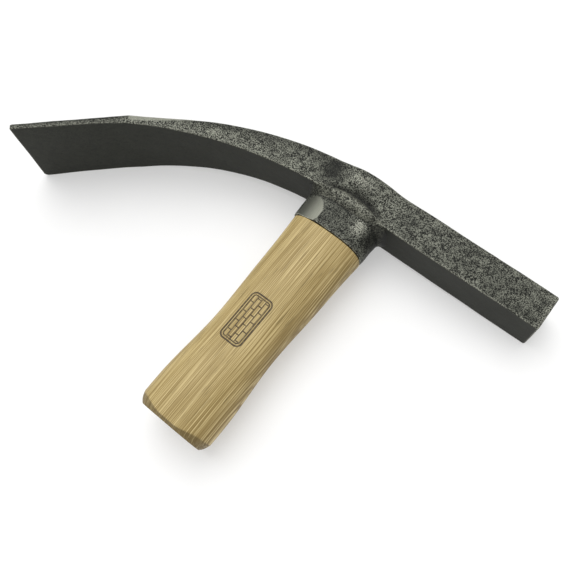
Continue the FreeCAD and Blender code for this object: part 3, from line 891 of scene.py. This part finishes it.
class Finish:
    """A node material. Lengths in its textures are in millimetres, along the row's own axes."""

    def __init__(self, name, metallic, specular=0.5):
        self.material = bpy.data.materials.new(name)
        self.material.use_nodes = True
        self.tree = self.material.node_tree
        self.shader = self.tree.nodes["Principled BSDF"]
        self.shader.inputs["Metallic"].default_value = metallic
        self.shader.inputs["Specular IOR Level"].default_value = specular
        self.where = self.tree.nodes.new("ShaderNodeTexCoord").outputs["Object"]

    def feed(self, socket, value):
        """Gives a socket a plain value or another node's output."""
        if isinstance(value, bpy.types.NodeSocket):
            self.tree.links.new(value, socket)
        else:
            socket.default_value = value

    def node(self, kind, inputs=(), **settings):
        made = self.tree.nodes.new(kind)
        for name, value in settings.items():
            setattr(made, name, value)
        for key, value in dict(inputs).items():
            self.feed(made.inputs[key], value)
        return made

    def stretched(self, scale, location=(0, 0, 0)):
        return self.node(
            "ShaderNodeMapping", {"Vector": self.where, "Scale": scale, "Location": location}
        ).outputs["Vector"]

    def noise(self, size, detail=2.0, rough=0.5, where=None):
        """Noise whose blobs are about size millimetres wide."""
        return self.node("ShaderNodeTexNoise", {
            "Vector": where or self.where, "Scale": 1 / (size * MM), "Detail": detail, "Roughness": rough,
        }).outputs["Fac"]

    def mask(self, name):
        return self.node("ShaderNodeAttribute", attribute_name=name).outputs["Fac"]

    def calculate(self, operation, first, second=0.0):
        return self.node("ShaderNodeMath", {0: first, 1: second}, operation=operation).outputs["Value"]

    def product(self, first, *others):
        for other in others:
            first = self.calculate("MULTIPLY", first, other)
        return first

    def between(self, value, low, high, to_low=0.0, to_high=1.0):
        """Turns low..high into to_low..to_high, and stays there beyond."""
        return self.node("ShaderNodeMapRange", {
            "Value": value, "From Min": low, "From Max": high, "To Min": to_low, "To Max": to_high,
        }, clamp=True).outputs["Result"]

    def mix(self, share, first, second):
        """One colour turning into another as the share goes from 0 to 1."""
        made = self.node("ShaderNodeMix", data_type="RGBA")
        # A mix node for colours has its factor and its two colours at these places.
        for place_in_node, value in ((0, share), (6, first), (7, second)):
            self.feed(made.inputs[place_in_node], value)
        return made.outputs[2]

    def bump(self, height, strength, depth, below=None):
        """Bumps depth millimetres high, on top of the bumps below."""
        inputs = {"Height": height, "Strength": strength, "Distance": depth * MM}
        if below is not None:
            inputs["Normal"] = below
        return self.node("ShaderNodeBump", inputs).outputs["Normal"]

    def finish(self, colour, roughness, normal):
        self.feed(self.shader.inputs["Base Color"], colour)
        self.feed(self.shader.inputs["Roughness"], roughness)
        self.feed(self.shader.inputs["Normal"], normal)
        return self.material


def steel(name, dark, light, speckle_size, softness):
    """Forged or rough steel: dark scale with pale speckles that are partly painted glints on the faces
    turned to the light, darker smooth scale that is partly painted shade on the belly and in hollows, and
    bright where there is wear, ground metal or a painted highlight. The softness says how gradual the step
    from dark to pale is."""
    made = Finish(name, metallic=0.5, specular=0.25)
    fine = made.noise(speckle_size, 3.0, 0.65)
    mottle = made.noise(3.2)
    shade_and_clean = made.mask("shade_and_clean")

    # The sides' speckle, whose pale specks are partly painted glints: fewer speckles in some patches, and
    # hardly any in the painted shade of the hollows and on cleaner scale.
    blend = made.calculate("ADD", made.product(fine, 0.8), made.product(mottle, 0.2))
    speckle = made.between(blend, 0.52 - softness, 0.52 + softness)
    broad = made.between(made.noise(14.0), 0.3, 0.7, 0.8, 1.0)
    patches = made.noise(7.0, 3.0, 0.6, where=made.stretched((0.6, 1, 1)))
    patches = made.between(patches, 0.35, 0.65, 0.62, 1.0)
    speckle_kept = made.between(shade_and_clean, 0, 1, 1.0, 0.12)
    share = made.product(speckle, speckle_kept, broad, patches)
    rough_skin_and_glints = made.mix(share, tint(*dark), tint(*light))

    # The belly and the ends, with quiet dark scale that is partly painted shade, darkest where shade is
    # painted into hollows and under the bar.
    quiet_and_shaded = made.mix(made.between(mottle, 0.35, 0.65), tint(*SHADED_SCALE_DARK), tint(*SHADED_SCALE_PALE))
    quiet_and_shaded = made.mix(made.between(fine, 0.45, 0.65, 0.0, 0.6), quiet_and_shaded, tint(*SHADED_SCALE_SPECK))
    quiet_and_shaded = made.mix(made.between(shade_and_clean, 0.3, 1.0, 0.0, 0.8), quiet_and_shaded, tint(*SHADE_AND_CLEAN_DARK))
    colour = made.mix(made.between(made.mask("speckle_and_glint"), 0.25, 0.6), quiet_and_shaded, rough_skin_and_glints)

    scratches = made.noise(0.35, where=made.stretched((1, 0.08, 0.4)))
    ground = made.mix(scratches, tint(*GROUND_DARK), tint(*GROUND_PALE))
    colour = made.mix(made.between(made.mask("ground"), 0.0, 1.0), colour, ground)
    # Bright wear, and painted highlights on the cheek, the weld's crown and the socket.
    wear_and_highlight = made.product(made.mask("wear_and_highlight"), made.between(fine, 0.42, 0.58, 0.15, 1.0))
    colour = made.mix(made.between(wear_and_highlight, 0.15, 0.9, 0.0, 0.95), colour, tint(*WEAR_AND_HIGHLIGHT_PALE))

    roughness = made.between(share, 0, 1, 0.55, 0.7)
    normal = made.bump(fine, 0.4, 0.15)
    normal = made.bump(mottle, 0.3, 0.25, normal)
    return made.finish(colour, roughness, normal)


# The generic mark burnt into the grip: a frame round a few courses of bricks. Millimetres.
MARK_PLACE = (-2.3, -85.4)
MARK_HALF = (15.0, 6.6)
MARK_CORNER = 3.0
# The frame's two lines: how far outside the mark's edge, and half their width.
MARK_LINES = ((0.0, 0.36), (-1.4, 0.26))
BRICK_LENGTH = 6.2
BRICK_HEIGHT = 2.55
BRICK_JOINT = 0.38


def burnt_mark(made):
    """Where the mark is burnt in, as a share: lines of a double frame and of brick joints inside it."""
    def vector(operation, first, second=(0, 0, 0)):
        return made.node("ShaderNodeVectorMath", {0: first, 1: second}, operation=operation).outputs

    centre = place(*MARK_PLACE)
    parts = made.node("ShaderNodeSeparateXYZ", {
        0: made.stretched((1 / MM,) * 3, location=[-c / MM for c in centre]),
    }).outputs
    flat = made.node("ShaderNodeCombineXYZ", {"X": parts["Y"], "Y": parts["X"]}).outputs["Vector"]

    # Distance from the edge of a rounded rectangle, less than nothing inside it.
    folded = vector("ABSOLUTE", flat)["Vector"]
    straight = (MARK_HALF[0] - MARK_CORNER, MARK_HALF[1] - MARK_CORNER, 0)
    beyond = vector("SUBTRACT", folded, straight)["Vector"]
    outside = vector("LENGTH", vector("MAXIMUM", beyond)["Vector"])["Value"]
    sides = made.node("ShaderNodeSeparateXYZ", {0: beyond}).outputs
    inside = made.calculate("MINIMUM", made.calculate("MAXIMUM", sides["X"], sides["Y"]), 0.0)
    distance = made.calculate("SUBTRACT", made.calculate("ADD", outside, inside), MARK_CORNER)

    bricks = made.node("ShaderNodeTexBrick", {
        "Vector": flat, "Scale": 1.0, "Mortar Size": BRICK_JOINT, "Mortar Smooth": 0.4,
        "Brick Width": BRICK_LENGTH, "Row Height": BRICK_HEIGHT,
    }).outputs["Fac"]
    lines = made.product(bricks, made.between(distance, -1.9, -1.6, 1.0, 0.0))
    for level, half_line in MARK_LINES:
        off = made.calculate("ABSOLUTE", made.calculate("SUBTRACT", distance, level))
        lines = made.calculate("MAXIMUM", lines, made.between(off, half_line, half_line + 0.2, 1.0, 0.0))
    facing_up = made.between(parts["Z"], 4.0, 6.0)
    uneven = made.between(made.noise(1.6, 3.0, 0.6), 0.3, 0.6, 0.65, 1.0)
    return made.product(lines, facing_up, uneven)


def wood(name, pale, mid, deep, through="X", marked=False):
    """Straight-grained wood whose growth rings are stacked through it along X or Z. They show as fine lines
    where a side cuts them on edge and as broad stripes where it doesn't, with pores along the grain."""
    made = Finish(name, metallic=0.0, specular=0.3)
    # The pattern changes quickly through the rings, slowly across them and hardly at all along the grain.
    across = 0.13
    lengthways = 0.008
    grain = made.stretched((1, lengthways, across) if through == "X" else (across, lengthways, 1))
    ring_spacing = 0.85 * MM
    # At a scale of 1 a wave texture has a band every tau / 20.
    rings = made.node("ShaderNodeTexWave", {
        "Vector": grain, "Scale": math.tau / 20 / ring_spacing,
        "Distortion": 5.0, "Detail": 1.0, "Detail Scale": 0.8,
    }, wave_type="BANDS", bands_direction=through).outputs["Fac"]
    fibre = made.noise(0.38, 1.0, where=grain)
    pores = made.noise(0.5, 2.0, 0.55, where=made.stretched((1, 0.03, 0.6)))
    tone = made.noise(14.0, where=made.stretched((1, 0.1, 1)))
    streak = made.noise(3.5, where=grain)
    to_block = made.node("ShaderNodeSeparateXYZ", {0: made.where}).outputs["X"]
    # Painted shade: darker on the block's side of the grip, the side turned away from the light.
    shaded_side = made.between(to_block, ZERO.x + 5 * MM, ZERO.x + 19 * MM, 0.0, 0.42)

    brightest = [channel + 22 for channel in pale]
    pore_dark = [channel * 0.6 for channel in deep]
    end_grain = [channel * 0.66 for channel in deep]
    colour = made.mix(made.between(tone, 0.3, 0.7), tint(*mid), tint(*pale))
    for share, darker in (
        (shaded_side, deep),
        (made.between(rings, 0.35, 1.0, 0.0, 0.65), deep),
        (made.between(streak, 0.48, 0.75, 0.0, 0.15), deep),
        (made.between(fibre, 0.5, 0.66, 0.0, 0.55), deep),
        (made.between(fibre, 0.48, 0.33, 0.0, 0.7), brightest),
        (made.between(pores, 0.6, 0.72, 0.0, 0.5), pore_dark),
        (made.between(made.mask("cut"), 0, 1, 0.0, 0.6), end_grain),
    ):
        colour = made.mix(share, colour, tint(*darker))
    normal = made.bump(fibre, 0.25, 0.12)
    normal = made.bump(pores, 0.2, 0.08, normal)
    if marked:
        burnt = burnt_mark(made)
        colour = made.mix(made.between(burnt, 0, 1, 0.0, 0.95), colour, tint(*BURNT))
        normal = made.bump(burnt, 0.6, -0.2, normal)
    roughness = made.between(fibre, 0.3, 0.7, 0.45, 0.6)
    return made.finish(colour, roughness, normal)


def make_materials():
    return {
        "forged_steel": steel("forged_steel", (15, 16, 13), (149, 151, 138), 0.62, 0.05),
        "socket_steel": steel("socket_steel", (13, 14, 11), (126, 128, 117), 0.62, 0.055),
        "weld_metal": steel("weld_metal", (27, 28, 24), (136, 137, 124), 0.72, 0.07),
        "ash_wood": wood("ash_wood", (183, 163, 112), (166, 146, 94), (116, 94, 48), marked=True),
        "wedge_wood": wood("wedge_wood", (142, 108, 70), (120, 88, 54), (76, 50, 28), through="Z"),
        "wedge_steel": steel("wedge_steel", (70, 71, 68), (140, 141, 136), 0.8, 0.16),
    }


# ------------------------------------------------------------------ floor and light

def holds(face, point):
    """Whether a point of a face's plane lies inside the face, seen from above."""
    corners = [v.co for v in face.verts]
    sides = []
    for corner, following in zip(corners, corners[1:] + corners[:1]):
        edge = following - corner
        sides.append(edge.x * (point.y - corner.y) - edge.y * (point.x - corner.x))
    return all(s >= 0 for s in sides) or all(s <= 0 for s in sides)


def resting_plane():
    """A point and the upward normal of the plane that the hammer lies on: the side of its convex hull below
    the balance point."""
    hull = bmesh.new()
    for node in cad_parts.values():
        for vertex in node.data.vertices:
            hull.verts.new(vertex.co)
    bmesh.ops.convex_hull(hull, input=hull.verts)
    balance = place(-20, -15)
    touched = None
    for face in hull.faces:
        if abs(face.normal.z) < 0.5:
            continue
        middle = face.calc_center_median()
        height = middle.z - face.normal.xy.dot(balance.xy - middle.xy) / face.normal.z
        under = Vector((balance.x, balance.y, height))
        if height < balance.z and holds(face, under):
            normal = face.normal.copy()
            touched = (under, normal if normal.z > 0 else -normal)
    hull.free()
    return touched


def floor_paint():
    """Matt white paint with a faint grain. It glows a little, which keeps the shadow on it light."""
    made = Finish("floor_paint", metallic=0.0, specular=0.1)
    grain = made.noise(40.0)
    colour = made.mix(grain, (0.56, 0.56, 0.557, 1), (0.6, 0.6, 0.597, 1))
    made.shader.inputs["Emission Color"].default_value = (1, 1, 1, 1)
    made.shader.inputs["Emission Strength"].default_value = 0.36
    return made.finish(colour, made.between(grain, 0, 1, 0.85, 0.95), made.bump(grain, 0.02, 0.1))


def make_floor():
    reach = 4.0
    mesh = bpy.data.meshes.new("floor")
    corners = [(-reach, -reach, 0), (reach, -reach, 0), (reach, reach, 0), (-reach, reach, 0)]
    mesh.from_pydata(corners, [], [(0, 1, 2, 3)])
    mesh.materials.append(floor_paint())
    floor = bpy.data.objects.new("floor", mesh)
    bpy.context.scene.collection.objects.link(floor)
    middle, normal = resting_plane()
    turn = normal.to_track_quat("Z", "Y").to_matrix().to_4x4()
    floor.matrix_world = Matrix.Translation(middle) @ turn


def make_key_light():
    """A broad, soft light from above, from behind the blade."""
    key = bpy.data.lights.new("key", "SUN")
    key.energy = 2.0
    key.angle = math.radians(60)
    lamp = bpy.data.objects.new("key", key)
    bpy.context.scene.collection.objects.link(lamp)
    towards_light = Vector((-0.45, 0.35, 1.0))
    lamp.rotation_euler = towards_light.to_track_quat("Z", "Y").to_euler()


def make_world():
    """A plain white room, which gives less light than its brightness to the eye."""
    light_strength = 0.72
    seen_strength = 1.0
    world = bpy.data.worlds.new("studio")
    bpy.context.scene.world = world
    world.use_nodes = True
    tree = world.node_tree
    background = tree.nodes["Background"]
    background.inputs["Color"].default_value = (1, 1, 1, 1)
    seen = tree.nodes.new("ShaderNodeLightPath").outputs["Is Camera Ray"]
    strength = tree.nodes.new("ShaderNodeMapRange")
    strength.inputs["To Min"].default_value = light_strength
    strength.inputs["To Max"].default_value = seen_strength
    tree.links.new(seen, strength.inputs["Value"])
    tree.links.new(strength.outputs["Result"], background.inputs["Strength"])


# ------------------------------------------------------------------ putting it together

make_camera()
make_floor()
make_key_light()
make_world()
bpy.context.scene.view_settings.view_transform = "Standard"
materials = make_materials()

wooden_wedge = make_wedge("eye_wedge", WOODEN_WEDGE, True, 20)
steel_masks = list(zip(MASKS, (1.0, 0.35, 0.0, 0.0)))
steel_wedge = make_wedge("cross_wedge", STEEL_WEDGE, False, 30, steel_masks)
handle = make_handle()
carve(handle, wooden_wedge)
carve(handle, steel_wedge)
carve(wooden_wedge, steel_wedge)
for piece in (handle, wooden_wedge, steel_wedge):
    soften(piece, 28)

pieces = [
    (make_head(), "hammer_head", "forged_steel"),
    (make_socket(), "oval_socket", "socket_steel"),
    (make_weld(), "weld_bead", "weld_metal"),
    (handle, "ash_handle", "ash_wood"),
    (wooden_wedge, "wooden_wedge", "wedge_wood"),
    (steel_wedge, "steel_wedge", "wedge_steel"),
]
for piece, node, slot in pieces:
    piece.data.materials.clear()
    piece.data.materials.append(materials[slot])
    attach(piece, "root")
    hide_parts(node)
